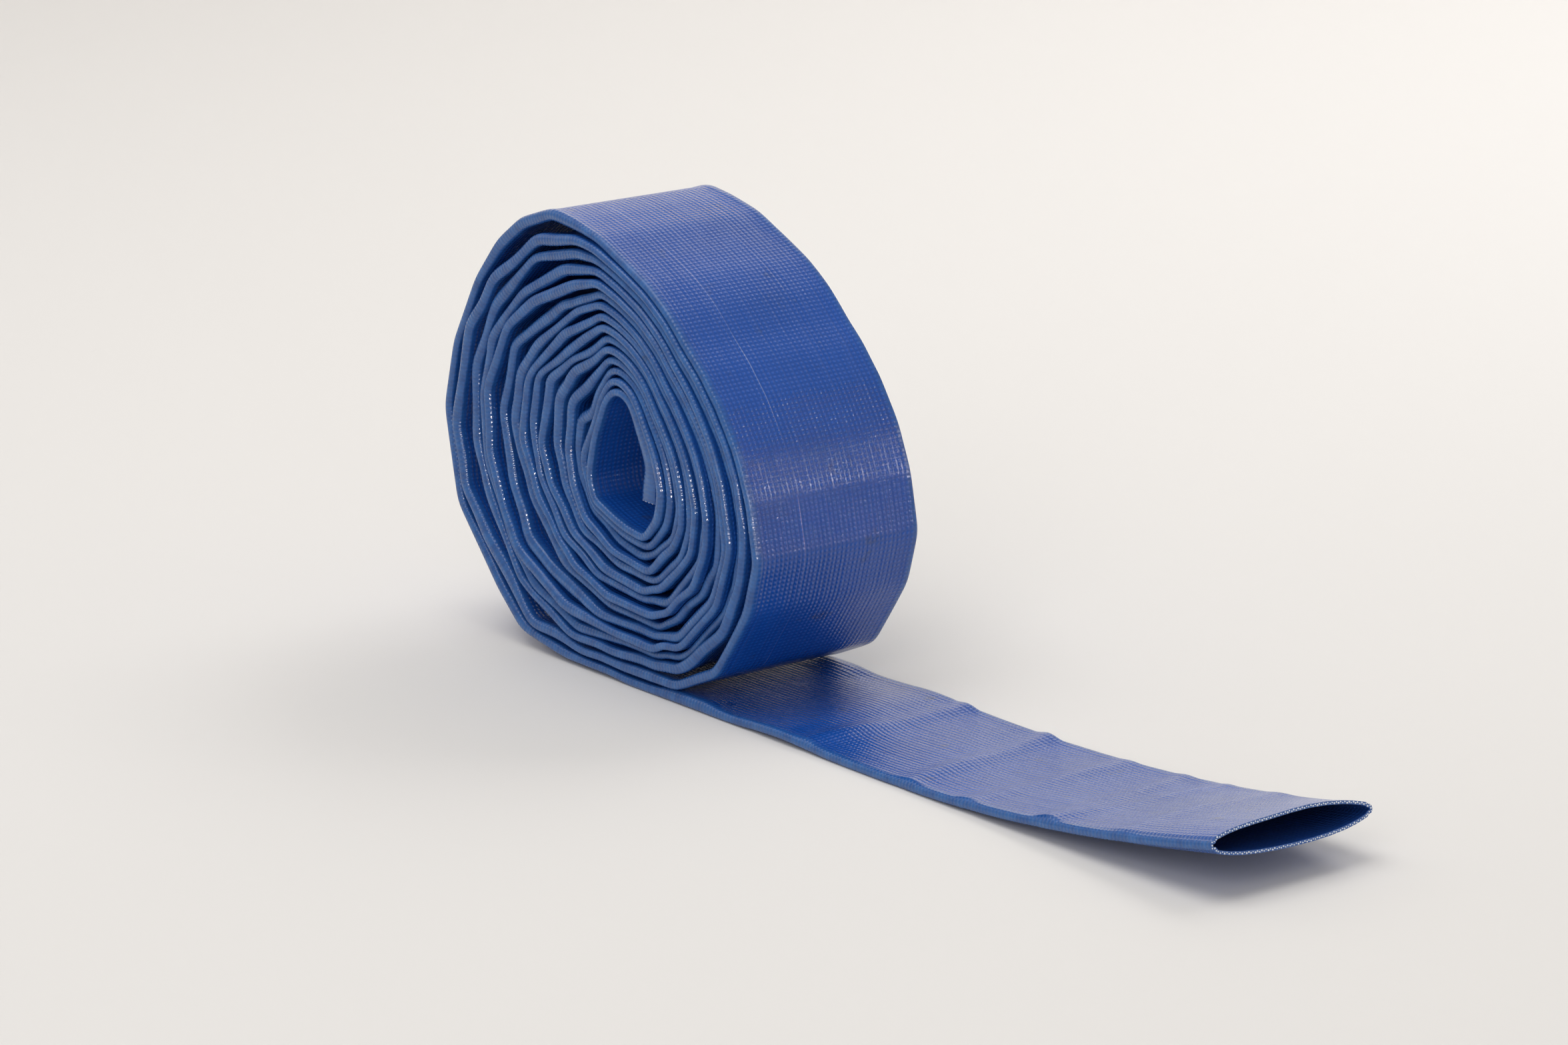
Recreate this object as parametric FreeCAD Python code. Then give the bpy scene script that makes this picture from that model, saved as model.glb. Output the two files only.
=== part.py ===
"""Lay-flat water hose: a flattened PVC tube with a yarn layer, rolled up and standing on its rim.

Frame: +X along the free tail, +Y across the hose, +Z up, in millimetres.
The origin is on the floor, in the middle of the flat stretch that the roll stands on.
"""
import FreeCAD
import Part
import math
import os
from FreeCAD import Vector

# The hose itself
bore = 51.0            # inside diameter once water rounds it out
coverWall = 0.55       # outer PVC skin
weftWall = 0.15        # yarn wound round the hose
warpWall = 0.15        # yarn running along the hose
linerWall = 0.50       # inner PVC skin
pressedGap = 0.90      # what stays open between the two walls of the pressed hose

# The roll: an oval coil, loosest on the left where the turns buckle
turns = 15
coreHalfWidth = 17.0   # the empty core
coreHalfHeight = 26.0
pitchRight = 4.33      # from one turn to the next
pitchBottom = 4.33
pitchTop = 4.54
pitchLeft = 7.16

standLength = 60.0     # the flat stretch under the roll, from touching down to the tail's bend line

# The free tail, counted along the hose from the origin
tailLength = 333.0
bendGap = 1.20          # the slit between the roll's solids and the tail's, which the bend needs
curlStart = 185.0      # from here the hose keeps some of its curl and leaves the floor
curlRadius = 600.0
openingStart = 205.0   # from here the pressed hose opens towards its mouth
mouthHeight = 18.0     # outside height of the open mouth
flatCrown = 0.05       # how far a pressed wall stands proud of its folds
sectionSpacing = 20.0  # distance between the tail's cross-sections

# Worked out from the above
layers = [("cover", coverWall), ("weft_yarn", weftWall), ("warp_yarn", warpWall), ("liner", linerWall)]
wall = sum(thickness for _, thickness in layers)
stack = 2 * wall + pressedGap
midWallLength = math.pi * (bore + wall)
flatWidth = (midWallLength - math.pi * (stack - wall)) / 2 + stack
quarterTurn = 90.0
cornerSine = math.sin(math.radians(quarterTurn / 2))
cornerDrop = 1 - cornerSine
touchDown = Vector(-standLength / 2, 0, stack / 2)
bendEnd = Vector(standLength / 2, 0, stack / 2)
outOfRoll = Vector(0, -1, 0)
sewingPrecision = 1e-5


def direction(degrees):
    """Unit vector in the XZ plane, counted from +X towards +Z."""
    angle = math.radians(degrees)
    return Vector(math.cos(angle), 0, math.sin(angle))


def sectorRadius(turnNumber, side):
    """Radius of one quarter of the oval that the hose's middle follows at this point of the winding."""
    halfWidth = coreHalfWidth + stack / 2 + turnNumber * (pitchLeft + pitchRight) / 2
    halfHeight = coreHalfHeight + stack / 2 + turnNumber * (pitchTop + pitchBottom) / 2
    determinant = cornerSine ** 2 - cornerDrop ** 2
    driftShare = 1 / (4 * cornerSine)
    driftX = (pitchRight - pitchLeft) / 2 * driftShare
    driftZ = (pitchTop - pitchBottom) / 2 * driftShare
    sideRadius = (halfHeight * cornerSine - halfWidth * cornerDrop) / determinant
    capRadius = (halfWidth * cornerSine - halfHeight * cornerDrop) / determinant
    return {"right": sideRadius + driftZ, "left": sideRadius - driftZ,
            "top": capRadius - driftX, "bottom": capRadius + driftX}[side]


def rollArcs():
    """The coil's middle line as tangent arcs: (start, centre, start angle, sweep), core end first."""
    arcs = []
    point = Vector(0, 0, 0)
    angle = -quarterTurn / 2
    sides = ["right", "top", "left", "bottom"]
    for quarter in range(4 * turns):
        radius = sectorRadius(quarter / 4, sides[quarter % 4])
        sweep = quarterTurn if quarter < 4 * turns - 1 else quarterTurn / 2
        centre = point - direction(angle) * radius
        arcs.append((point, centre, angle, sweep))
        angle += sweep
        point = centre + direction(angle) * radius
    landing = touchDown - point
    return [(start + landing, centre + landing, begin, sweep) for start, centre, begin, sweep in arcs]


def slotEdges(point, outward, inset):
    """Outline of the pressed hose at a point of its middle line, all round and inset from the outside."""
    halfThick = stack / 2 - inset
    flatHalf = flatWidth / 2 - stack / 2
    across = Vector(0, 1, 0)
    topRight = point + outward * halfThick + across * flatHalf
    topLeft = point + outward * halfThick - across * flatHalf
    bottomRight = point - outward * halfThick + across * flatHalf
    bottomLeft = point - outward * halfThick - across * flatHalf
    rightTip = point + across * (flatHalf + halfThick)
    leftTip = point - across * (flatHalf + halfThick)
    return [Part.makeLine(topLeft, topRight),
            Part.Arc(topRight, rightTip, bottomRight).toShape(),
            Part.makeLine(bottomRight, bottomLeft),
            Part.Arc(bottomLeft, leftTip, topLeft).toShape()]


def ringFace(outerEdges, innerEdges):
    """The cut end of one layer."""
    face = Part.Face([Part.Wire(outerEdges), Part.Wire(innerEdges)])
    face.validate()    # makes the inner outline a hole
    return face


def sewnSolid(faces):
    """One closed solid from faces that meet edge to edge."""
    skin = Part.makeCompound(faces)
    skin.sewShape()
    solid = Part.Solid(skin.Shells[0])
    solid.fix(sewingPrecision, sewingPrecision, sewingPrecision)    # turns every face to point outwards
    return solid


def rollLayer(arcs, outside, inside):
    """One layer of the hose, from the core's cut end round every turn and on to the bend line."""
    faces = []
    for inset in (outside, inside):
        for start, centre, angle, sweep in arcs:
            for edge in slotEdges(start, direction(angle), inset):
                faces.append(edge.revolve(centre, outOfRoll, sweep))
        for edge in slotEdges(touchDown, direction(270), inset):
            faces.append(edge.extrude(bendEnd - touchDown))
    coreStart, _, coreAngle, _ = arcs[0]
    for point, outward in ((coreStart, direction(coreAngle)), (bendEnd, direction(270))):
        faces.append(ringFace(slotEdges(point, outward, outside), slotEdges(point, outward, inside)))
    return sewnSolid(faces)


def openingShare(distance):
    """How far the hose has opened at a distance along the tail, from 0, pressed, to 1, at the mouth."""
    share = max(0.0, (distance - openingStart) / (tailLength - openingStart))
    return share * share * (3 - 2 * share)


def tailPoint(distance):
    """Underside of the tail at a distance along it, with the direction square to it."""
    curl = max(0.0, distance - curlStart) / curlRadius
    alongFloor = min(distance, curlStart) + curlRadius * math.sin(curl)
    rise = curlRadius * (1 - math.cos(curl))
    return Vector(alongFloor, 0, rise), Vector(-math.sin(curl), 0, math.cos(curl))


def tailSection(distance, inset):
    """Outline of the hose at a distance along the tail: two shallow arcs joined by two round folds."""
    share = openingShare(distance)
    pressedHeight = stack + 2 * flatCrown
    height = pressedHeight + share * (mouthHeight - pressedHeight)
    foldRadius = stack / 2 + share * (mouthHeight - stack) / 8
    # the wall's length stays the same, so an open hose is narrower than a pressed one
    slope = (height / 2 - foldRadius) / (flatWidth / 2)
    halfWidth = flatWidth / 2 * (1 - slope * slope) - (foldRadius - stack / 2) * (math.pi / 2 - 1)
    reach = halfWidth - foldRadius
    halfHeight = height / 2
    archRadius = (reach ** 2 + halfHeight ** 2 - foldRadius ** 2) / (2 * (halfHeight - foldRadius))
    underside, upward = tailPoint(distance)
    middle = underside + upward * halfHeight
    across = Vector(0, 1, 0)
    foldAngle = math.atan2(archRadius - halfHeight, reach)

    def onFold(side, level):
        return (middle + across * side * (reach + (foldRadius - inset) * math.cos(foldAngle))
                + upward * level * (foldRadius - inset) * math.sin(foldAngle))

    crown = upward * (halfHeight - inset)
    tip = across * (halfWidth - inset)
    return Part.Wire([Part.Arc(onFold(-1, 1), middle + crown, onFold(1, 1)).toShape(),
                      Part.Arc(onFold(1, 1), middle + tip, onFold(1, -1)).toShape(),
                      Part.Arc(onFold(1, -1), middle - crown, onFold(-1, -1)).toShape(),
                      Part.Arc(onFold(-1, -1), middle - tip, onFold(-1, 1)).toShape()])


def tailBody(inset):
    """Everything inside one outline of the tail, from the bend line to the mouth."""
    begin = standLength / 2 + bendGap
    count = math.ceil((tailLength - begin) / sectionSpacing)
    step = (tailLength - begin) / count
    return Part.makeLoft([tailSection(begin + index * step, inset) for index in range(count + 1)], True)


def tailLayer(outside, inside):
    """One layer of the tail."""
    return tailBody(outside).cut(tailBody(inside)).Solids[0]


def exportPart(name, solid):
    """Write one node and print what it measures."""
    if not solid.isValid() or solid.Volume <= 0:
        raise RuntimeError(name + " is not a sound solid")
    solid.exportStep(os.path.join("parts", name + ".step"))
    box = solid.BoundBox
    print("%-15s volume %9.1f mm3  x %.1f..%.1f  y %.1f..%.1f  z %.1f..%.1f" % (
        name, solid.Volume, box.XMin, box.XMax, box.YMin, box.YMax, box.ZMin, box.ZMax))


def printCoil(arcs, coverSolid):
    """Print the coil's bends and compare the cover's volume with its section times its length."""
    radii = [(start - centre).Length for start, centre, _, _ in arcs]
    turned = sum(radius * math.radians(sweep) for radius, (_, _, _, sweep) in zip(radii, arcs))
    length = turned + standLength
    section = ringFace(slotEdges(touchDown, direction(270), 0), slotEdges(touchDown, direction(270), coverWall)).Area
    print("flat width %.2f, pressed thickness %.2f" % (flatWidth, stack))
    print("coil radii %.1f to %.1f, hose in the roll %.0f, whole hose %.0f" % (
        min(radii), max(radii), length, length + tailLength - standLength / 2))
    print("cover volume over section times length: %.4f" % (coverSolid.Volume / (section * length)))


def main():
    os.makedirs("parts", exist_ok=True)
    arcs = rollArcs()
    outside = 0.0
    for name, thickness in layers:
        rollSolid = rollLayer(arcs, outside, outside + thickness)
        exportPart("roll_" + name, rollSolid)
        exportPart("tail_" + name, tailLayer(outside, outside + thickness))
        if name == "cover":
            printCoil(arcs, rollSolid)
        outside += thickness


main()
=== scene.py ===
import math
import bmesh
import bpy
import numpy as np
from mathutils import Matrix, Vector


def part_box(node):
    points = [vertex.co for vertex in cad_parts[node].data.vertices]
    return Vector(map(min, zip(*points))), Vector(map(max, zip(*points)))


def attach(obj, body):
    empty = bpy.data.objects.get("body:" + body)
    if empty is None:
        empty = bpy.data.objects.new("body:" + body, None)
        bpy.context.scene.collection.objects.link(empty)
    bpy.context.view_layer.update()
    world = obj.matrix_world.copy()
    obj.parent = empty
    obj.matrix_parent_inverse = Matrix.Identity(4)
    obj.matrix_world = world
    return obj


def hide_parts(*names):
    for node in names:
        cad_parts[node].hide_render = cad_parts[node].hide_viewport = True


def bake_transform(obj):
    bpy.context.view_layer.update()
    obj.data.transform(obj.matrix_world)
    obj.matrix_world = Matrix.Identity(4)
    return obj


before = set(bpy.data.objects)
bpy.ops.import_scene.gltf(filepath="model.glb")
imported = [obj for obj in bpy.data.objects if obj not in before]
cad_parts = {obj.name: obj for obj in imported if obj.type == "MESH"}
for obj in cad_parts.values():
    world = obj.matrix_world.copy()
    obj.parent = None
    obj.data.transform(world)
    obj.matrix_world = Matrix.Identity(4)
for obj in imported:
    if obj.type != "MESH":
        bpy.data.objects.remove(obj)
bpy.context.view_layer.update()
mm = 0.001
print("frame loaded, nodes:", len(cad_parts))

rollLow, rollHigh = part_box("roll_cover")
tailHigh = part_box("tail_cover")[1]

# the hose itself, pressed flat; lengths in mm
hose = {
    "width": (rollHigh.y - rollLow.y) / mm,
    "wall": 1.35,
    "midHalf": 1.42,      # half the pressed stack in the middle of the face
    "foldHalf": 1.6,      # half the stack at the folds where turns press on it
    "foldLoose": 1.78,    # the same along the tail
    "foldOpen": 3.3,      # the most it opens where a turn has room beside it
    "foldRound": 2.2,     # up to this half thickness a fold stays round
    "foldTop": 0.93,      # share of its half thickness that a fold's steepest point stands at
    "foldRun": 2.4,       # how far a fold's swelling runs into the face
    "openRun": 4.5,       # how much further it runs for each mm that the fold opens
    "foldZone": 3.4,      # width of the band that looks folded
    "contact": 3.16,      # nearest that two turns' middle lines come
    "step": 1.9,          # distance between rings along the hose
    "fineStep": 0.6,      # distance between the points that its kinks are rounded on
    "warpYarns": 76,      # lengthways yarns around the hose
    "weftSpacing": 1.92,  # distance between crosswise yarns
}

# how the roll is wound, seen from its near side: angles in degrees,
# reach from the core's middle in mm
roll = {
    "middle": (-13.0, 92.0),
    "start": -36.0,
    "turns": 14,          # whole turns before the last one, which touches down
    # reach of the innermost turn
    "core": {3: 20.3, 30: 19, 50: 20, 76: 26.5, 88: 29, 101: 28, 115: 22, 145: 15, 175: 13.5,
             203: 17.6, 228: 21.2, 255: 19.2, 277: 21.5, 300: 28, 324: 26.3, 345: 23},
    "coreSpread": 4,      # degrees, how softly the core's reach changes
    # reach of the outermost turn
    "outside": {-90: 85, -68: 91.5, -51: 94.9, -33: 92.2, -15: 89.2, 0: 81.3, 14: 75.6, 30: 70.8,
                52: 68, 72: 73.8, 88: 80.2, 100: 89.4, 110: 98, 117: 105.5, 128: 110.6, 138: 113,
                150: 114.7, 166: 118.7, 180: 122.2, 199: 120.2, 219: 111.2, 230: 109.6, 245: 97.9,
                264: 89.6, 270: 90.2},
    "flapIn": {-36: -5.2, 3: -2, 50: -1.6, 76: 0},  # the loose inner end leans inwards
    "smooth": (4, 17, 30, 42, 54, 66, 78, 90, 101),
    "kinksRight": (-66, -33, -14),
    "kinkDrift": 7,       # degrees that those wander from turn to turn
    # kinks on the left and below of each turn from the second on, as angle and reach
    "kinks": (
        (),
        ((116, 27), (187, 26.8), (201, 25.8), (232, 24.6), (262, 25.5)),
        ((112, 31.5), (141, 25), (156, 32.2), (178, 31.4), (200, 31.2), (232, 31), (265, 33.5)),
        ((110, 38), (150, 38.5), (183, 35), (203, 35), (229, 36.4), (262, 37.6)),
        ((112, 43), (134, 45.5), (156, 47.2), (181, 44.5), (203, 42.4), (231, 43), (266, 42.2)),
        ((108, 46), (130, 48.6), (152, 55.2), (168, 52.2), (183, 55), (201, 51.4), (227, 48.4),
         (256, 48.2)),
        ((114, 53), (155, 61.3), (175, 60.2), (196, 57), (224, 54.4), (252, 52.6)),
        ((110, 57), (128, 60), (159, 66), (182, 66.6), (205, 60.4), (238, 57.8), (262, 57.4)),
        ((116, 64), (146, 68), (161, 73), (177, 73.8), (187, 69.4), (203, 66), (232, 63.5),
         (262, 61.6)),
        ((108, 66), (124, 69.5), (141, 73), (154, 81), (176, 82), (197, 78.8), (215, 79),
         (228, 72.8), (257, 68.2)),
        ((113, 74), (135, 80), (150, 86.5), (171, 91.6), (188, 90.2), (203, 87), (216, 86.6),
         (241, 77.4), (268, 71)),
        ((118, 82), (139, 88), (158, 96), (174, 95.6), (191, 94.6), (212, 90.4), (226, 89),
         (248, 82)),
        ((110, 86), (128, 94), (150, 100), (168, 103.4), (186, 101.8), (199, 98), (222, 94.5),
         (246, 86.5), (266, 79.8)),
        ((108, 90.5), (124, 99), (145, 105.5), (160, 110.5), (183, 115.6), (196, 113.6),
         (208, 107), (232, 102), (252, 89)),
        (),
    ),
    "knotGap": 3,         # degrees, nearest that two kinks may come
    "endGap": 4,          # degrees kept free of kinks at both ends
    # how far each turn strays outwards at the lower right, and where that counts
    "strayRight": (0, 0.5, -0.4, 0.7, 0.6, -0.5, 0.5, 0.4, -0.6, 0.3, 0.8, -0.5, -1.5, -2.9, 0),
    "strayWhere": {-90: 0, -62: 1, -20: 1, 0: 0},
    # how far each turn sits back from the near side
    "setBack": (0.4, -0.6, 1.5, 2.4, -0.7, 2.1, -0.4, 1.3, -1.2, 2.2, 0.1, -0.9, 2.6, 0.1, 1.4,
                2.6),
    "setBackSpread": 24,  # rings over which that changes
    "sway": (0.5, 7.3, 2.9),    # slow sideways sway: size, and its two beats in radians a turn
    "flutter": (0.22, 17),      # quick one: size, and mm of hose to a radian
    "dent": 1.5,          # deepest inward bow of a straight run between kinks
    # runs bow in a little on the left and below, and stay round on the right
    "dentWhere": {-90: 0.25, -60: 0.3, -20: 0.25, 0: 0, 104: 0, 120: 0.7, 240: 1, 265: 0.3},
    "dentRun": 24,        # length of a run that bows in fully
    "rounding": 3.0,      # spread of the rounding at a kink
    "endOpen": 2.4,       # how far the inner end's near corner gapes
    "endSquare": 0.6,     # how much that squares its near fold
    "endDepth": 46,       # how deep inside the inner end is modelled
}

# the length that runs out from under the roll
tail = {
    "curlStart": 150.0,   # where it leaves the floor
    "curlRise": 19.1,     # height of its underside at the mouth
    "arch": (86, 1.5, 22),    # a low hump: place, height, spread
    "mouthHeight": 13.5,
    "openFrom": 195.0,    # where the two walls start to part
    "openEase": 1.35,     # above 1 they part late
    "narrowing": 2.6,     # width that the open mouth loses
    "lowerShare": 1.05,   # the lower lip bulges more than the upper
    "mouthTilt": -1.0,    # below 0 the near corner sits higher
    "nearBlunt": 0.5,     # how round the corners of the mouth are, below 1 for rounder
    "farBlunt": 0.62,
    "pocket": 150.0,      # how deep inside the mouth is modelled
    # creases across the top: place, height, spread, slant
    "creases": ((70, 0.7, 6, -0.2), (104, 1.4, 5.5, 0.06), (160, 1.7, 6, -0.12),
                (200, 0.9, 6, 0.05), (238, 1.2, 6, -0.1), (251, 0.8, 4, 0.16),
                (285, 0.8, 6.5, 0.02)),
    "pinch": 0.5,         # width lost at a crease
    "pinchSpread": 5,
    "belly": 0.5,         # height of the slight waves between creases
    "calmUntil": 70,      # no creases before this, under the roll
    "calmFade": 30,
}

dice = np.random.default_rng(16)


def readTable(table, at):
    # values between a table's entries
    keys = sorted(table)
    return np.interp(at, keys, [table[k] for k in keys])


def easeTable(table, angles, spread):
    # reach at each angle from a round table, softened
    keys = np.array(sorted(table))
    grid = np.arange(0, 360, 1.0)
    reach = np.interp(grid, keys, [table[k] for k in keys], period=360)
    reach = soften(np.tile(reach, 3), spread)[360:720]
    return np.interp(angles, grid, reach, period=360)


def soften(values, spread):
    # gaussian smoothing, spread in samples; the ends are mirrored so that they stay in place
    reachOut = int(4 * spread) + 1
    kernel = np.exp(-0.5 * (np.arange(-reachOut, reachOut + 1) / spread) ** 2)
    before = 2 * values[0] - values[reachOut:0:-1]
    after = 2 * values[-1] - values[-2:-reachOut - 2:-1]
    return np.convolve(np.concatenate([before, values, after]), kernel / kernel.sum(), "valid")


def windRoll():
    # middle line of the hose from the core to where it touches down, as x, z in mm
    start, end = roll["start"], 270 + 360 * roll["turns"]
    angle = np.arange(start, end + 0.5, 1.0)
    whole = (end - start) / 360

    def reachAt(turn):
        turn = np.minimum(turn, end - 0.001)
        facing = (turn + 90) % 360 - 90
        turnNumber = np.round((turn - facing) / 360).astype(int)
        inner = easeTable(roll["core"], turn, roll["coreSpread"])
        outer = readTable(roll["outside"], facing)
        share = 1 - (270 - facing) / 360 / whole
        reach = inner + (outer - inner) / share * (turn - start) / (end - start)
        stray = np.array(roll["strayRight"])[turnNumber] * readTable(roll["strayWhere"], facing)
        return reach + stray

    # knots at the kinks, close together where the roll is smooth
    knots, fixed = [start], {}
    for turnNumber in range(roll["turns"] + 1):
        kinks = dict(roll["kinks"][turnNumber])
        if turnNumber == 0:
            marks = sorted(roll["core"])
        elif turnNumber == roll["turns"]:
            marks = sorted(roll["outside"])
        else:
            marks = sorted(roll["kinksRight"] + roll["smooth"] + tuple(kinks))
        for mark in marks:
            turn = 360 * turnNumber + mark
            if mark in roll["kinksRight"]:
                turn += roll["kinkDrift"] * math.sin(2.4 * turnNumber + mark)
            inside = start + roll["endGap"] < turn < end - roll["endGap"]
            if inside and turn > knots[-1] + roll["knotGap"]:
                knots.append(turn)
                if mark in kinks:
                    fixed[turn] = kinks[mark]
    knots = np.array(knots + [end])
    knotReach = reachAt(knots)
    for i, turn in enumerate(knots):
        knotReach[i] = fixed.get(turn, knotReach[i])

    # straight runs from knot to knot
    hit = np.clip(np.searchsorted(knots, angle, "right") - 1, 0, len(knots) - 2)
    a, b = knots[hit], knots[hit + 1]
    ra, rb = knotReach[hit], knotReach[hit + 1]
    span = np.radians(b - a)
    chord = ra * np.sin(np.radians(angle - a)) + rb * np.sin(np.radians(b - angle))
    reach = ra * rb * np.sin(span) / chord
    facing = (angle + 90) % 360 - 90
    runDent = dice.uniform(0.1, 1, len(knots))[hit] * roll["dent"]
    bow = np.sin(np.pi * (angle - a) / (b - a)) ** 2
    runShare = np.clip(ra * span / roll["dentRun"], 0, 1.2)
    notLast = angle < end - 360
    reach -= readTable(roll["dentWhere"], facing) * runDent * bow * runShare * notLast
    reach += readTable(roll["flapIn"], angle) * (angle < max(roll["flapIn"]))

    # each turn is pushed out until it only touches the one inside it
    block, margin = 60, 20
    for first in range(0, len(angle) - 360, block):
        low, high = max(first - margin, 0), min(first + block + margin, len(angle))
        here = slice(first + 360, first + 360 + block)
        least = outsideOf(angle[low:high], reach[low:high], angle[here] - 360)
        reach[here] = np.maximum(reach[here], least)
    x = roll["middle"][0] + reach * np.cos(np.radians(angle))
    z = roll["middle"][1] + reach * np.sin(np.radians(angle))
    return angle, x, z


def outsideOf(angle, reach, wanted):
    # reach of the line that runs one pressed thickness outside this one
    turn = np.radians(angle)
    x, z = reach * np.cos(turn), reach * np.sin(turn)
    tx, tz = np.gradient(x), np.gradient(z)
    size = np.hypot(tx, tz)
    x, z = x + hose["contact"] * tz / size, z - hose["contact"] * tx / size
    ahead = np.angle((x + 1j * z) * np.exp(-1j * turn))
    place = angle + np.degrees(ahead)
    order = np.argsort(place)
    return np.interp(wanted, place[order], np.hypot(x, z)[order], left=0, right=0)


def distanceAlong(x, z):
    return np.append(0, np.cumsum(np.hypot(np.diff(x), np.diff(z))))


def hosePath():
    # the whole hose as evenly spaced rings: places, directions, distances along it
    angle, x, z = windRoll()
    mouthX = tailHigh.x / mm
    tailX = np.arange(x[-1] + 1.0, mouthX + 0.01, 1.0)
    place, height, spread = tail["arch"]
    curl = np.clip((tailX - tail["curlStart"]) / (mouthX - tail["curlStart"]), 0, 1)
    lift = curl ** 2 * tail["curlRise"]
    lift = lift + height * np.exp(-((tailX - place) / spread) ** 2)
    z = np.maximum(z, hose["foldLoose"])
    x, z = np.append(x, tailX), np.append(z, hose["foldLoose"] + lift)
    turned = np.append(angle, np.full(len(tailX), angle[-1]))
    along = distanceAlong(x, z)
    fine = np.linspace(0, along[-1], int(along[-1] / hose["fineStep"]))
    x, z, turned = (np.interp(fine, along, v) for v in (x, z, turned))
    x, z = (soften(v, roll["rounding"] / hose["fineStep"]) for v in (x, z))
    z = np.maximum(z, hose["foldLoose"] - 0.02)    # stays on the floor
    along = distanceAlong(x, z)
    even = np.linspace(0, along[-1], int(along[-1] / hose["step"]) + 1)
    x, z, turned = (np.interp(even, along, v) for v in (x, z, turned))
    tx, tz = np.gradient(x), np.gradient(z)
    size = np.hypot(tx, tz)
    return {"x": x, "z": z, "tx": tx / size, "tz": tz / size, "along": even, "turned": turned}


path = hosePath()
ringCount = len(path["x"])
print("hose path:", ringCount, "rings,", round(path["along"][-1]), "mm")

foldSteep = 60    # degrees, the steepest point modelled on a fold


def ringColumns():
    # one ring around the pressed hose: side of the stack, share across the face, angle on the fold
    face = np.array([0, 1.1, 2.4, 4.2, 7.5, 13, 21, 30, 39.5])    # mm in from the fold
    half = face / (2 * face[-1])
    across = np.concatenate([half, 1 - half[-2::-1]])
    foldAngles = [math.radians(a) for a in (-foldSteep, -30, 0, 30, foldSteep)]
    return ([("fold", -1, a) for a in foldAngles] + [("face", 1, s) for s in across]
            + [("fold", 1, a) for a in foldAngles[::-1]] + [("face", -1, s) for s in across[::-1]])


columns = ringColumns()


def ringShape(foldBelow, foldAbove, width, height=0.0, tilt=0.0, ripple=None, boxy=0.0):
    # y and h of one ring; h is positive on the face that is outermost in the roll
    points = []
    foldMean = 0.5 * (foldBelow + foldAbove)
    inner = width / 2 - foldMean
    midHalf = hose["midHalf"]
    for kind, side, value in columns:
        foldHalf = foldAbove if (value if kind == "fold" else side) > 0 else foldBelow
        if kind == "fold":
            # a fold that opens grows more in height than in depth, and boxy squares the near one
            nearHalf = foldHalf + (boxy if side < 0 else 0)
            opened = foldHalf >= hose["foldRound"]
            depth = 0.5 * (hose["foldRound"] + foldHalf) if opened else foldMean
            squared = 1 + roll["endSquare"] * boxy * (side < 0)
            y = side * (inner + min(depth, foldMean) * math.cos(value) / squared)
            h = nearHalf * math.sin(value) / math.sin(math.radians(foldSteep)) * hose["foldTop"]
        else:
            y = inner * (2 * value - 1)
            edge = min(value, 1 - value) * 2 * inner
            decay = hose["foldRun"] + hose["openRun"] * max(0, foldHalf - hose["foldLoose"])
            h = midHalf + (foldHalf - midHalf) * math.exp(-(edge / decay) ** 2)
            if height:
                share = tail["lowerShare"] if side > 0 else 2 - tail["lowerShare"]
                blunt = tail["nearBlunt"] if value < 0.5 else tail["farBlunt"]
                arch = (1 - abs(2 * value - 1) ** 2.2) ** blunt
                h += (height / 2 - midHalf) * share * arch
            h += boxy * (1 - value) ** 1.5
            h *= side
            if ripple is not None:
                h += ripple(y, side)
        points.append((y, h - tilt * y / (width / 2)))
    return np.array(points)


def innerRing(points):
    # the same ring one wall further in
    ahead = np.roll(points, -1, 0) - np.roll(points, 1, 0)
    normal = np.stack([-ahead[:, 1], ahead[:, 0]], 1)
    normal /= np.linalg.norm(normal, axis=1)[:, None]
    if (normal * points).sum() < 0:
        normal = -normal
    return points - normal * hose["wall"]


def placeRing(index, points, setBack):
    nx, nz = path["tz"][index], -path["tx"][index]
    return np.stack([path["x"][index] + nx * points[:, 1], setBack + points[:, 0],
                     path["z"][index] + nz * points[:, 1]], 1)


# sideways wander of the turns: each has its own place, with a slow sway and a quick one on top
passAt = (path["turned"] - roll["start"]) / 360
setBackAt = np.interp(passAt, np.arange(len(roll["setBack"])), roll["setBack"])
wander = soften(setBackAt, roll["setBackSpread"])
sway, beat, slowBeat = roll["sway"]
flutter, flutterRun = roll["flutter"]
wander += (sway * np.sin(passAt * beat) * np.sin(passAt * slowBeat)
           + flutter * np.sin(path["along"] / flutterRun))
past = path["turned"] >= path["turned"][-1]
wander = np.where(past, wander[np.argmax(past)], wander)
wander = soften(wander, roll["setBackSpread"] / 2)

# how the folds open between turns; lengths in mm
folds = {
    "slackSpread": 5,     # rings over which the slack changes
    "slackMean": 0.6,     # share of the opening that a fold takes where it has room
    "slackVaries": 0.35,
    "slackLeast": 0.1,
    "nextTurn": 14,       # degrees each way in which the next turn is looked for
    "clear": 0.25,        # half of what stays free between two turns
    "looseGap": 3.8,      # turns further apart than this keep looseClear more
    "looseClear": 0.45,
    "freeAfter": 45,      # past this the tail is out from under the roll
    "spread": 2.5,        # rings over which the opening is evened out
}


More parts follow.
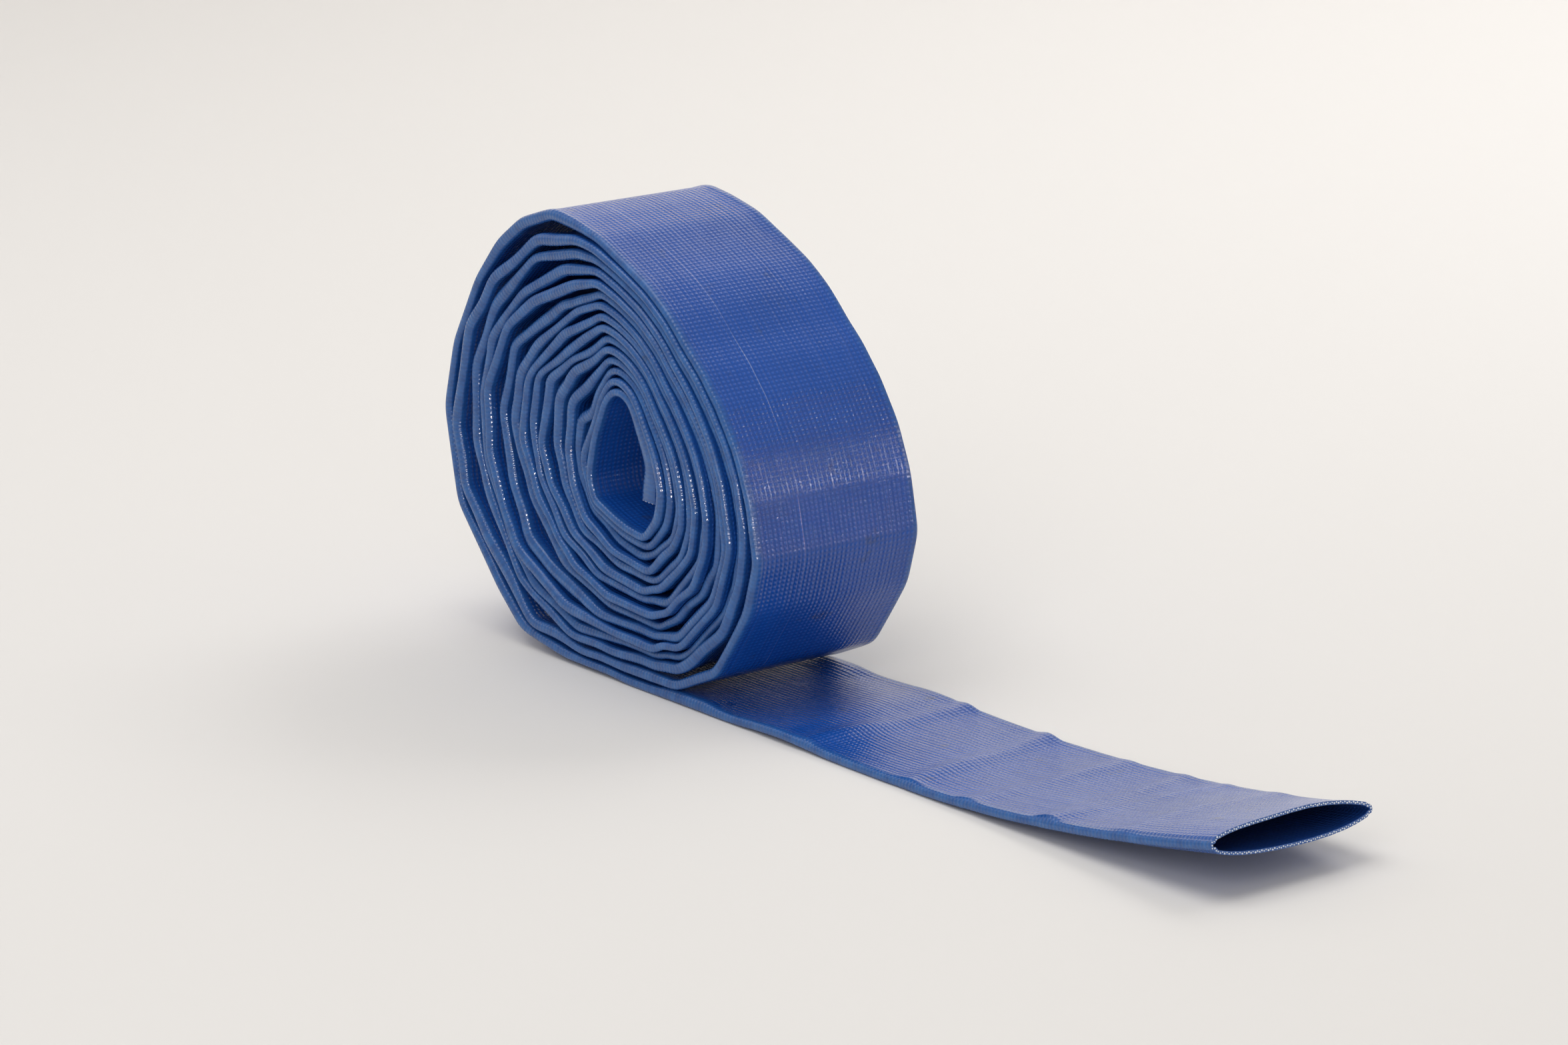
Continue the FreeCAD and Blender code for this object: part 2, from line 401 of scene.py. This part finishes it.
def pressedFold():
    # the folds swell where the turn inside or outside leaves room, unevenly along the hose
    line = path["x"] + 1j * path["z"]
    halves = np.full((2, len(line)), hose["foldLoose"])
    slack = soften(dice.uniform(0, 1, len(line)), folds["slackSpread"])
    slack = (slack - slack.mean()) / slack.std() * folds["slackVaries"] + folds["slackMean"]
    slack = np.clip(slack, folds["slackLeast"], 1)
    for i in range(len(line)):
        if past[i] and path["x"][i] > folds["freeAfter"]:
            continue
        for row, way in ((0, -1), (1, 1)):
            offset = np.abs(path["turned"] - (path["turned"][i] + way * 360))
            near = offset < folds["nextTurn"]
            if not near.any():
                continue
            gap = np.abs(line[near] - line[i]).min()
            loose = folds["looseClear"] * (gap > folds["looseGap"])
            room = max(gap / 2 - folds["clear"] - loose, 0)
            wanted = hose["foldLoose"] + (hose["foldOpen"] - hose["foldLoose"]) * slack[i]
            halves[row, i] = min(max(room, hose["foldHalf"] - 0.05), wanted)
    return soften(halves[0], folds["spread"]), soften(halves[1], folds["spread"])


foldIn, foldOut = pressedFold()
print("folds pressed")


def tailRipple(x):
    # height of the creases at this place along the tail
    calm = min(1, max(0, (x - tail["calmUntil"]) / tail["calmFade"]))

    def ripple(y, side):
        if side > 0:
            return 0.0
        total = 0.0
        for place, height, spread, slant in tail["creases"]:
            gap = (x - place - slant * y) / spread
            # a crease isn't equally deep all the way across
            total -= height * math.exp(-gap * gap) * (0.75 + 0.25 * math.sin(y / 9 + place))
        # between creases the wall bellies slightly, most in its middle
        bend = math.sin(x / 10.5 + 1.7 * math.sin(y / 16))
        total -= tail["belly"] * bend * (1 - (2 * y / hose["width"]) ** 2)
        return total * calm
    return ripple


def signedVolume(verts, faces):
    # above 0 when the faces look outwards
    return sum(np.dot(verts[f[0]], np.cross(verts[f[i]], verts[f[i + 1]]))
               for f in faces for i in range(1, len(f) - 1))


def tubeMesh(name, rings, uvs, kinds, creased):
    # joins the rings into one closed skin; kinds holds a material number for each band
    count, around = len(rings), len(columns)
    verts = np.concatenate(rings) * mm
    faces, materials, uvAt = [], [], []
    for i in range(count - 1):
        here, onward = i * around, (i + 1) * around
        for j in range(around):
            k = (j + 1) % around
            faces.append((here + j, here + k, onward + k, onward + j))
            materials.append(kinds[i])
            u0, u1 = ringAcross[j], ringAcross[j + 1]
            uvAt += [(u0, uvs[i]), (u1, uvs[i]), (u1, uvs[i + 1]), (u0, uvs[i + 1])]
    for ring, order in ((0, -1), (count - 1, 1)):
        faces.append([ring * around + j for j in range(around)][::order])
        materials.append(kinds[0] if ring == 0 else kinds[-1])
        uvAt += [(0, uvs[ring])] * around
    mesh = bpy.data.meshes.new(name)
    mesh.from_pydata(verts.tolist(), [], faces)
    layer = mesh.uv_layers.new(name="alongHose")
    layer.data.foreach_set("uv", np.array(uvAt, np.float32).ravel())
    mesh.polygons.foreach_set("material_index", np.array(materials, np.int32))
    mesh.polygons.foreach_set("use_smooth", np.ones(len(faces), bool))
    fold = mesh.attributes.new("fold", "FLOAT", "POINT")
    fold.data.foreach_set("value", np.tile(foldShare, count).astype(np.float32))
    mesh.update()
    # the cut ends keep sharp edges
    sharp = np.zeros(len(mesh.edges), bool)
    edgeVerts = np.zeros(len(mesh.edges) * 2, np.int32)
    mesh.edges.foreach_get("vertices", edgeVerts)
    rows = edgeVerts.reshape(-1, 2) // around
    for ring in creased:
        sharp |= (rows == ring).all(1)
    mark = mesh.attributes.new("sharp_edge", "BOOLEAN", "EDGE")
    mark.data.foreach_set("value", sharp)
    obj = bpy.data.objects.new(name, mesh)
    bpy.context.scene.collection.objects.link(obj)
    if signedVolume(verts, faces) < 0:
        mesh.flip_normals()
    return obj


# distance around the ring, for the weave, and how near each column is to a fold
flatRing = ringShape(hose["foldHalf"], hose["foldHalf"], hose["width"])
steps = np.hypot(*(np.roll(flatRing, -1, 0) - flatRing).T)
ringAcross = np.append(0, np.cumsum(steps)) * mm
fromFold = hose["width"] / 2 - np.abs(flatRing[:, 0])
foldShare = np.clip(1 - fromFold / hose["foldZone"], 0, 1) ** 0.8

# numbers of the three materials on the tube
outerFace, innerFace, cutFace = 0, 1, 2


def coilRings():
    # from deep inside the loose inner end, out over its cut, and along the roll to touch-down
    last = int(np.argmax(past & (path["x"] > -10)))
    outer, inner = [], []
    for i in range(last + 1):
        boxy = roll["endOpen"] * max(0, 1 - path["along"][i] / roll["endDepth"]) ** 0.8
        points = ringShape(foldIn[i], foldOut[i], hose["width"] - 0.5 * boxy, boxy=boxy)
        outer.append(placeRing(i, points, wander[i]))
        if path["along"][i] < roll["endDepth"]:
            inner.append(placeRing(i, innerRing(points), wander[i]))
    depth = len(inner)
    rings = inner[::-1] + outer
    uvs = [path["along"][i] * mm for i in list(range(depth))[::-1] + list(range(last + 1))]
    kinds = [innerFace] * (depth - 1) + [cutFace] + [outerFace] * last
    creased = (0, depth - 1, depth, len(rings) - 1)
    return rings, uvs, kinds, creased, last, outer[0], inner[0]


def tailRings(first):
    # from touch-down to the mouth, over its cut and back inside
    outer, inner = [], []
    lastX = tailHigh.x / mm
    for i in range(first, ringCount):
        x = path["x"][i]
        share = np.clip((x - tail["openFrom"]) / (lastX - tail["openFrom"]), 0, 1)
        height = tail["mouthHeight"] * share ** tail["openEase"]
        height = height if height > 2 * hose["midHalf"] else 0
        pinch = sum(tail["pinch"] * math.exp(-((x - crease[0]) / tail["pinchSpread"]) ** 2)
                    for crease in tail["creases"])
        width = hose["width"] - tail["narrowing"] * share ** 2 - pinch
        points = ringShape(foldIn[i], foldOut[i], width, height, tail["mouthTilt"] * share,
                           tailRipple(x))
        outer.append(placeRing(i, points, wander[i]))
        if x > lastX - tail["pocket"]:
            inner.append(placeRing(i, innerRing(points), wander[i]))
    rings = outer + inner[::-1]
    count = len(outer)
    inside = list(range(ringCount - len(inner), ringCount))[::-1]
    uvs = [path["along"][i] * mm for i in list(range(first, ringCount)) + inside]
    kinds = [outerFace] * (count - 1) + [cutFace] + [innerFace] * (len(inner) - 1)
    return rings, uvs, kinds, (0, count - 1, count, len(rings) - 1), outer[-1], inner[-1]


rings, uvs, kinds, creased, seam, coreOuter, coreInner = coilRings()
coil = tubeMesh("hose_roll", rings, uvs, kinds, creased)
print("roll built:", len(coil.data.polygons), "faces")
rings, uvs, kinds, creased, mouthOuter, mouthInner = tailRings(seam)
tailPiece = tubeMesh("hose_tail", rings, uvs, kinds, creased)
print("tail built:", len(tailPiece.data.polygons), "faces")


def linear(hexColour, alpha=1.0):
    # sRGB hex to linear colour
    parts = [int(hexColour[i:i + 2], 16) / 255 for i in (1, 3, 5)]
    return tuple(p / 12.92 if p <= 0.04045 else ((p + 0.055) / 1.055) ** 2.4
                 for p in parts) + (alpha,)


def addNode(tree, kind, settings=None, links=None):
    # one node with its settings and what feeds its sockets, a value or another socket
    node = tree.nodes.new(kind)
    for key, value in (settings or {}).items():
        setattr(node, key, value)
    for key, value in (links or {}).items():
        if isinstance(value, bpy.types.NodeSocket):
            tree.links.new(value, node.inputs[key])
        else:
            node.inputs[key].default_value = value
    return node


def startMaterial(name, **settings):
    material = bpy.data.materials.new(name)
    material.use_nodes = True
    tree = material.node_tree
    tree.nodes.clear()
    shader = addNode(tree, "ShaderNodeBsdfPrincipled", links=settings)
    addNode(tree, "ShaderNodeOutputMaterial", links={"Surface": shader.outputs[0]})
    return material, tree, shader


def yarnWaves(tree, uv, drift=None):
    # cosines with the yarns' real spacing, lengthways then crosswise; drift bends the crosswise
    split = addNode(tree, "ShaderNodeSeparateXYZ", links={0: uv.outputs[0]})
    waves = []
    for axis, perMetre in ((split.outputs[0], hose["warpYarns"] / ringAcross[-1]),
                           (split.outputs[1], 1 / (hose["weftSpacing"] * mm))):
        turn = addNode(tree, "ShaderNodeMath", {"operation": "MULTIPLY"},
                       {0: axis, 1: perMetre * 2 * math.pi})
        if drift and waves:
            turn = addNode(tree, "ShaderNodeMath", {"operation": "MULTIPLY_ADD"},
                           {0: drift.outputs[0], 1: pvc["weftDrift"], 2: turn.outputs[0]})
        wave = addNode(tree, "ShaderNodeMath", {"operation": "COSINE"}, {0: turn.outputs[0]})
        waves.append(wave.outputs[0])
    return split.outputs[0], waves


# cells per metre is 1000 over a pattern's size in mm
pvc = {
    "blue": "#1652AE",
    "deep": "#10428F",
    # fold tones paler than the body: partly wear, partly painted highlight on the rounded folds
    "fold": "#3468A6",
    "foldDeep": "#2A5590",
    "scuff": "#5E78B0",
    # dark dirt for the spots, also painted shade in the weave's hollows at the folds
    "darkDirtAndShade": "#353F46",
    "chalk": "#9FB2D6",
    "gloss": (0.11, 0.24),    # roughness between the streaks and on them
    "ior": 1.53,
    "relief": 0.21,       # mm, height of the weave under the skin
    "warpRelief": 0.15,   # share of that on a lengthways yarn between crossings
    "ribRelief": 0.4,     # share of that on the ribs that cross a fold
    "streakRelief": 1.3,
    "driftCells": 90.0,   # 11 mm, the crosswise yarns waver
    "weftDrift": 1.6,     # radians that they waver by
    "streakCells": (900, 9, 1),    # 1.1 mm wide, 110 mm long
    "patchCells": 22.0,   # 45 mm, slow changes of tone
    "wornCells": 160.0,   # 6 mm, wear on the folds
    "spotCells": 60.0,    # 17 mm, dirt
    "gridTone": 0.8,      # how much the crossings change the blue
    # share of the fold tone: wear and painted highlight together
    "foldPaleWornLit": 0.85,     # how much paler the folds are
    "hazeMost": 0.16,
    "spotMost": 0.55,
    # strength of the dirt and painted shade in the weave's hollows at the folds
    "foldHollowDirtShade": 0.1,
    "chalkLine": 27.0,    # mm from the near fold, a thin scuffed line along the outer face
    "chalkWidth": 0.35,   # mm, half its width
    "chalkMost": 0.55,
}


def glossyPvc():
    # extruded lay-flat PVC over woven polyester: wet gloss, with the weave as a fine grid
    material, tree, shader = startMaterial("extrudedGlossPvc", IOR=pvc["ior"])
    uv = addNode(tree, "ShaderNodeUVMap", {"uv_map": "alongHose"})
    fold = addNode(tree, "ShaderNodeAttribute", {"attribute_name": "fold"}).outputs["Fac"]
    drift = addNode(tree, "ShaderNodeTexNoise",
                    links={"Vector": uv.outputs[0], "Scale": pvc["driftCells"], "Detail": 2.0})
    around, cosines = yarnWaves(tree, uv, drift)
    halves = [addNode(tree, "ShaderNodeMath", {"operation": "MULTIPLY_ADD"},
                      {0: cosine, 1: 0.5, 2: 0.5}) for cosine in cosines]
    warp, weft = (half.outputs[0] for half in halves)
    # long scratches and drag marks follow the hose
    stretched = addNode(tree, "ShaderNodeMapping",
                        links={"Vector": uv.outputs[0], "Scale": pvc["streakCells"]})
    streaks = addNode(tree, "ShaderNodeTexNoise",
                      links={"Vector": stretched.outputs[0], "Scale": 1.0, "Detail": 5.0,
                             "Roughness": 0.6})
    patches = addNode(tree, "ShaderNodeTexNoise",
                      links={"Vector": uv.outputs[0], "Scale": pvc["patchCells"], "Detail": 3.0})
    # relief: crossings stand up on the faces, only the crosswise ribs on the folds
    crossings = addNode(tree, "ShaderNodeMath", {"operation": "MULTIPLY"}, {0: warp, 1: weft})
    faceRelief = addNode(tree, "ShaderNodeMath", {"operation": "MULTIPLY_ADD"},
                         {0: warp, 1: pvc["warpRelief"], 2: crossings.outputs[0]})
    ribs = addNode(tree, "ShaderNodeMath", {"operation": "MULTIPLY"},
                   {0: weft, 1: pvc["ribRelief"]})
    relief = addNode(tree, "ShaderNodeMix", {"data_type": "FLOAT"},
                     {0: fold, 2: faceRelief.outputs[0], 3: ribs.outputs[0]})
    streakLift = addNode(tree, "ShaderNodeMath", {"operation": "MULTIPLY_ADD"},
                         {0: streaks.outputs[0], 1: pvc["streakRelief"], 2: relief.outputs[0]})
    bump = addNode(tree, "ShaderNodeBump",
                   links={"Height": streakLift.outputs[0], "Distance": pvc["relief"] * mm,
                          "Strength": 1.0})
    # colour: body blue, deeper between the crossings
    gridTone = addNode(tree, "ShaderNodeMath", {"operation": "MULTIPLY_ADD"},
                       {0: crossings.outputs[0], 1: pvc["gridTone"], 2: patches.outputs[0]})
    gridShift = addNode(tree, "ShaderNodeMath", {"operation": "SUBTRACT", "use_clamp": True},
                        {0: gridTone.outputs[0], 1: 0.2})
    base = addNode(tree, "ShaderNodeMix", {"data_type": "RGBA"},
                   {0: gridShift.outputs[0], 6: linear(pvc["deep"]), 7: linear(pvc["blue"])})
    # the folds are paler, partly from wear and partly as a painted highlight on their rounded edges
    worn = addNode(tree, "ShaderNodeTexNoise",
                   links={"Vector": uv.outputs[0], "Scale": pvc["wornCells"], "Detail": 4.0,
                          "Roughness": 0.6})
    wornRamp = addNode(tree, "ShaderNodeMapRange",
                       links={"Value": worn.outputs[0], 1: 0.38, 2: 0.62, 3: 0.0, 4: 1.0})
    foldWornLitTone = addNode(tree, "ShaderNodeMix", {"data_type": "RGBA"},
                       {0: wornRamp.outputs[0], 6: linear(pvc["foldDeep"]), 7: linear(pvc["fold"])})
    foldWornLitShare = addNode(tree, "ShaderNodeMath", {"operation": "MULTIPLY", "use_clamp": True},
                       {0: fold, 1: pvc["foldPaleWornLit"]})
    folded = addNode(tree, "ShaderNodeMix", {"data_type": "RGBA"},
                     {0: foldWornLitShare.outputs[0], 6: base.outputs[2], 7: foldWornLitTone.outputs[2]})
    # haze where it has been dragged
    hazeRamp = addNode(tree, "ShaderNodeMapRange",
                       links={"Value": streaks.outputs[0], 1: 0.52, 2: 0.85, 3: 0.0,
                              4: pvc["hazeMost"]})
    hazed = addNode(tree, "ShaderNodeMix", {"data_type": "RGBA"},
                    {0: hazeRamp.outputs[0], 6: folded.outputs[2], 7: linear(pvc["scuff"])})
    # dirt in spots, and dirt with painted shade in the weave's hollows at the folds
    spots = addNode(tree, "ShaderNodeTexNoise",
                    links={"Vector": uv.outputs[0], "Scale": pvc["spotCells"], "Detail": 4.0,
                           "Roughness": 0.65})
    spotRamp = addNode(tree, "ShaderNodeMapRange",
                       links={"Value": spots.outputs[0], 1: 0.62, 2: 0.76, 3: 0.0,
                              4: pvc["spotMost"]})
    hollow = addNode(tree, "ShaderNodeMath", {"operation": "SUBTRACT"}, {0: 1.0, 1: weft})
    foldHollowDirtShade = addNode(tree, "ShaderNodeMath", {"operation": "MULTIPLY"},
                       {0: hollow.outputs[0], 1: fold})
    foldHollowDirtShadeLow = addNode(tree, "ShaderNodeMath", {"operation": "MULTIPLY"},
                          {0: foldHollowDirtShade.outputs[0], 1: pvc["foldHollowDirtShade"]})
    spotDirtAndShade = addNode(tree, "ShaderNodeMath", {"operation": "ADD", "use_clamp": True},
                      {0: foldHollowDirtShadeLow.outputs[0], 1: spotRamp.outputs[0]})
    dirtiedAndShaded = addNode(tree, "ShaderNodeMix", {"data_type": "RGBA"},
                    {0: spotDirtAndShade.outputs[0], 6: hazed.outputs[2], 7: linear(pvc["darkDirtAndShade"])})
    # one scuffed line runs along the outer face
    offLine = addNode(tree, "ShaderNodeMath", {"operation": "SUBTRACT"},
                      {0: around, 1: pvc["chalkLine"] * mm})
    lineGap = addNode(tree, "ShaderNodeMath", {"operation": "ABSOLUTE"}, {0: offLine.outputs[0]})
    lineRamp = addNode(tree, "ShaderNodeMapRange",
                       links={"Value": lineGap.outputs[0], 1: 0.0, 2: pvc["chalkWidth"] * mm,
                              3: pvc["chalkMost"], 4: 0.0})
    lineRuns = addNode(tree, "ShaderNodeMapRange",
                       links={"Value": patches.outputs[0], 1: 0.45, 2: 0.65, 3: 0.1, 4: 0.8})
    lineBreaks = addNode(tree, "ShaderNodeMath", {"operation": "MULTIPLY"},
                         {0: lineRamp.outputs[0], 1: lineRuns.outputs[0]})
    chalked = addNode(tree, "ShaderNodeMix", {"data_type": "RGBA"},
                      {0: lineBreaks.outputs[0], 6: dirtiedAndShaded.outputs[2], 7: linear(pvc["chalk"])})
    rough = addNode(tree, "ShaderNodeMapRange",
                    links={"Value": streaks.outputs[0], 1: 0.35, 2: 0.75, 3: pvc["gloss"][0],
                           4: pvc["gloss"][1]})
    tree.links.new(chalked.outputs[2], shader.inputs["Base Color"])
    tree.links.new(rough.outputs[0], shader.inputs["Roughness"])
    tree.links.new(bump.outputs[0], shader.inputs["Normal"])
    return material


def twoTone(tree, shader, pattern, dark, light, height):
    # a pattern drives both the colour and a bump of this height in mm
    tone = addNode(tree, "ShaderNodeMix", {"data_type": "RGBA"},
                   {0: pattern.outputs[0], 6: linear(dark), 7: linear(light)})
    bump = addNode(tree, "ShaderNodeBump",
                   links={"Height": pattern.outputs[0], "Distance": height * mm})
    tree.links.new(tone.outputs[2], shader.inputs["Base Color"])
    tree.links.new(bump.outputs[0], shader.inputs["Normal"])


# the cut yarns; lengths in mm
yarnEnds = {
    "white": "#E9ECF2",
    "shade": "#B9C4D8",
    "fuzzCells": 2600.0,  # 0.4 mm
    "fuzz": 0.08,
    "spacing": 1.05,
    "radius": 0.36,
    "proud": 0.12,        # how far they stand out of the cut
    "zigzag": 0.17,
    "coreSeen": -20,      # at the core only those nearer than this are frayed out
}


def polyesterYarn():
    # cut polyester filament: bright white, matt, a little fuzzy
    material, tree, shader = startMaterial("cutPolyesterYarn", Roughness=0.75, IOR=1.57)
    where = addNode(tree, "ShaderNodeTexCoord")
    fuzz = addNode(tree, "ShaderNodeTexNoise",
                   links={"Vector": where.outputs["Object"], "Scale": yarnEnds["fuzzCells"],
                          "Detail": 2.0})
    twoTone(tree, shader, fuzz, yarnEnds["shade"], yarnEnds["white"], yarnEnds["fuzz"])
    return material


def yarnTufts(name, outer, inner, ahead, keep=None):
    # the cut yarns show as a zigzag of small tufts between the outer and the inner skin
    middle = 0.5 * (outer + inner)
    middle = np.concatenate([middle, middle[:1]])
    wayOut = np.concatenate([outer - inner, (outer - inner)[:1]])
    wayOut /= np.linalg.norm(wayOut, axis=1)[:, None]
    along = np.append(0, np.cumsum(np.linalg.norm(np.diff(middle, axis=0), axis=1)))
    count = round(along[-1] / yarnEnds["spacing"])
    net = bmesh.new()
    for i in range(count):
        at = along[-1] * i / count
        here = np.array([np.interp(at, along, middle[:, k]) for k in range(3)])
        out = np.array([np.interp(at, along, wayOut[:, k]) for k in range(3)])
        if keep and not keep(here):
            continue
        here = here + out * (yarnEnds["zigzag"] * (-1) ** i + dice.uniform(-0.05, 0.05))
        here = here + ahead * (yarnEnds["proud"] + dice.uniform(-0.1, 0.1))
        size = yarnEnds["radius"] * dice.uniform(0.75, 1.2)
        bmesh.ops.create_icosphere(net, subdivisions=1, radius=size * mm,
                                   matrix=Matrix.Translation(here * mm))
    mesh = bpy.data.meshes.new(name)
    net.to_mesh(mesh)
    net.free()
    mesh.polygons.foreach_set("use_smooth", np.ones(len(mesh.polygons), bool))
    obj = bpy.data.objects.new(name, mesh)
    bpy.context.scene.collection.objects.link(obj)
    return obj


# the inside and the cut edge of the wall; relief and tearing in mm
liner = {"colour": "#1B3F80", "roughness": 0.4, "relief": 0.06, "cloudCells": 70.0}    # 14 mm
cutEdge = {"dark": "#1A4488", "pale": "#3B6AAE", "roughness": 0.55, "tearing": 0.1,
           "grainCells": 1400.0}    # 0.7 mm


def linerPvc():
    # PVC lining squeezed through the weave: the same grid, duller, in shade
    material, tree, shader = startMaterial("liningPvc", Roughness=liner["roughness"],
                                           IOR=pvc["ior"])
    uv = addNode(tree, "ShaderNodeUVMap", {"uv_map": "alongHose"})
    _, waves = yarnWaves(tree, uv)
    grid = addNode(tree, "ShaderNodeMath", {"operation": "ADD"}, {0: waves[0], 1: waves[1]})
    bump = addNode(tree, "ShaderNodeBump",
                   links={"Height": grid.outputs[0], "Distance": liner["relief"] * mm,
                          "Strength": 1.0})
    cloud = addNode(tree, "ShaderNodeTexNoise",
                    links={"Vector": uv.outputs[0], "Scale": liner["cloudCells"], "Detail": 3.0})
    tone = addNode(tree, "ShaderNodeMix", {"data_type": "RGBA"},
                   {0: cloud.outputs[0], 6: linear(liner["colour"]), 7: linear(pvc["deep"])})
    tree.links.new(tone.outputs[2], shader.inputs["Base Color"])
    tree.links.new(bump.outputs[0], shader.inputs["Normal"])
    return material


def cutPvc():
    # sheared wall: matt, a little paler than the face, fine tearing
    material, tree, shader = startMaterial("cutPvcWall", Roughness=cutEdge["roughness"],
                                           IOR=pvc["ior"])
    where = addNode(tree, "ShaderNodeTexCoord")
    grain = addNode(tree, "ShaderNodeTexNoise",
                    links={"Vector": where.outputs["Object"], "Scale": cutEdge["grainCells"],
                           "Detail": 3.0})
    twoTone(tree, shader, grain, cutEdge["dark"], cutEdge["pale"], cutEdge["tearing"])
    return material


# in the order of outerFace, innerFace and cutFace
skins = (glossyPvc(), linerPvc(), cutPvc())
for piece in (coil, tailPiece):
    for material in skins:
        piece.data.materials.append(material)
print("materials made")

mouthAhead = np.array([path["tx"][-1], 0, path["tz"][-1]])
mouthTufts = yarnTufts("mouth_yarn_ends", mouthOuter, mouthInner, mouthAhead)
coreAhead = -np.array([path["tx"][0], 0, path["tz"][0]])
coreTufts = yarnTufts("core_yarn_ends", coreOuter, coreInner, coreAhead,
                      lambda at: at[1] < yarnEnds["coreSeen"])
cutYarn = polyesterYarn()
for piece, body in ((mouthTufts, "tail"), (coreTufts, "roll")):
    piece.data.materials.append(cutYarn)
    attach(piece, body)
print("yarn ends made")

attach(coil, "roll")
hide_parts("roll_cover", "roll_weft_yarn", "roll_warp_yarn", "roll_liner")
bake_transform(tailPiece)
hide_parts("tail_cover", "tail_weft_yarn", "tail_warp_yarn", "tail_liner")

# white paper sweep: floor that curves up into a wall behind; metres and degrees
stage = {"front": -6.0, "back": 2.6, "cove": 0.9, "coveSteps": 12, "height": 2.9, "half": 7.0,
         "turn": 51.5, "paper": "#E6E3E0"}


def paperSweep():
    # profile runs from in front of the object, under it and up the wall
    profile = [(stage["front"], 0)]
    for i in range(stage["coveSteps"] + 1):
        a = math.radians(90 * i / stage["coveSteps"])
        profile.append((stage["back"] - stage["cove"] + stage["cove"] * math.sin(a),
                        stage["cove"] - stage["cove"] * math.cos(a)))
    profile.append((stage["back"], stage["height"]))
    turn = math.radians(stage["turn"])
    away = Vector((-math.sin(turn), math.cos(turn), 0))
    side = Vector((math.cos(turn), math.sin(turn), 0))
    verts = [away * distance + side * stage["half"] * s + Vector((0, 0, height))
             for distance, height in profile for s in (-1, 1)]
    faces = [(2 * i, 2 * i + 1, 2 * i + 3, 2 * i + 2) for i in range(len(profile) - 1)]
    mesh = bpy.data.meshes.new("paper_sweep")
    mesh.from_pydata([tuple(v) for v in verts], [], faces)
    mesh.polygons.foreach_set("use_smooth", np.ones(len(faces), bool))
    obj = bpy.data.objects.new("paper_sweep", mesh)
    bpy.context.scene.collection.objects.link(obj)
    # uncoated paper: pale, warm and quite matt
    material, tree, shader = startMaterial("whiteStudioPaper", Roughness=0.9)
    shader.inputs["Base Color"].default_value = linear(stage["paper"])
    obj.data.materials.append(material)


paperSweep()

camera = {
    "azimuth": 51.5, "elevation": 15.15, "distance": 2.110, "lens": 122.4, "sensor": 36,
    "target": (0.0418, 0.0, 0.0727),
}


def placeCamera():
    data = bpy.data.cameras.new("camera")
    data.lens, data.sensor_width = camera["lens"], camera["sensor"]
    data.clip_start, data.clip_end = 0.05, 50
    obj = bpy.data.objects.new("camera", data)
    bpy.context.scene.collection.objects.link(obj)
    a, e = math.radians(camera["azimuth"]), math.radians(camera["elevation"])
    back = Vector((math.sin(a) * math.cos(e), -math.cos(a) * math.cos(e), math.sin(e)))
    obj.location = Vector(camera["target"]) + back * camera["distance"]
    obj.rotation_mode = "QUATERNION"
    obj.rotation_quaternion = (-back).to_track_quat("-Z", "Y")
    bpy.context.scene.camera = obj


placeCamera()

middle = (0, 0, 0.09)    # of the object, where most lamps aim
lights = (
    # name, place, aim, size, power, colour, seen by matt surfaces, seen in gloss
    ("overhead_softbox", (-0.2, -0.5, 2.2), middle, (2.0, 1.6), 23, "#FFFFFF", True, True),
    ("front_fill", (1.6, -2.0, 1.3), middle, (1.4, 1.4), 16, "#FFFFFF", True, True),
    ("left_fill", (-2.2, -0.8, 1.2), middle, (1.2, 1.4), 3, "#FFFFFF", True, True),
    ("backdrop_wash", (-0.7, 2.0, 1.9), (-1.2, 2.35, 0.0), (1.2, 3.0), 31, "#FFFFFF", True, False),
    ("backdrop_glow", (-1.75, 1.4, 0.85), middle, (2.6, 1.1), 5.5, "#FFF1DF", False, True),
    # small bare lamps that only glint on the weave
    ("low_right_lamp", (1.9, -0.85, 0.34), middle, (0.06, 0.06), 26, "#FFFFFF", False, True),
    ("back_right_lamp", (1.5, 1.25, 0.72), middle, (0.05, 0.05), 7.5, "#FFFFFF", False, True),
)
for name, place, aim, size, power, colour, onMatt, inGloss in lights:
    data = bpy.data.lights.new(name, "AREA")
    data.shape, data.size, data.size_y = "RECTANGLE", *size
    data.energy, data.color = power, linear(colour)[:3]
    lamp = bpy.data.objects.new(name, data)
    bpy.context.scene.collection.objects.link(lamp)
    lamp.location = place
    lamp.visible_diffuse, lamp.visible_glossy = onMatt, inGloss
    lamp.rotation_mode = "QUATERNION"
    lamp.rotation_quaternion = (Vector(aim) - Vector(place)).to_track_quat("-Z", "Y")

air = {"colour": "#F4F2EE", "strength": 0.45}    # light from the rest of the room
world = bpy.data.worlds.new("dimStudio")
world.use_nodes = True
background = world.node_tree.nodes["Background"]
background.inputs["Color"].default_value = linear(air["colour"])
background.inputs["Strength"].default_value = air["strength"]
bpy.context.scene.world = world
bpy.context.scene.view_settings.view_transform = "Standard"
print("stage, camera and lights placed")
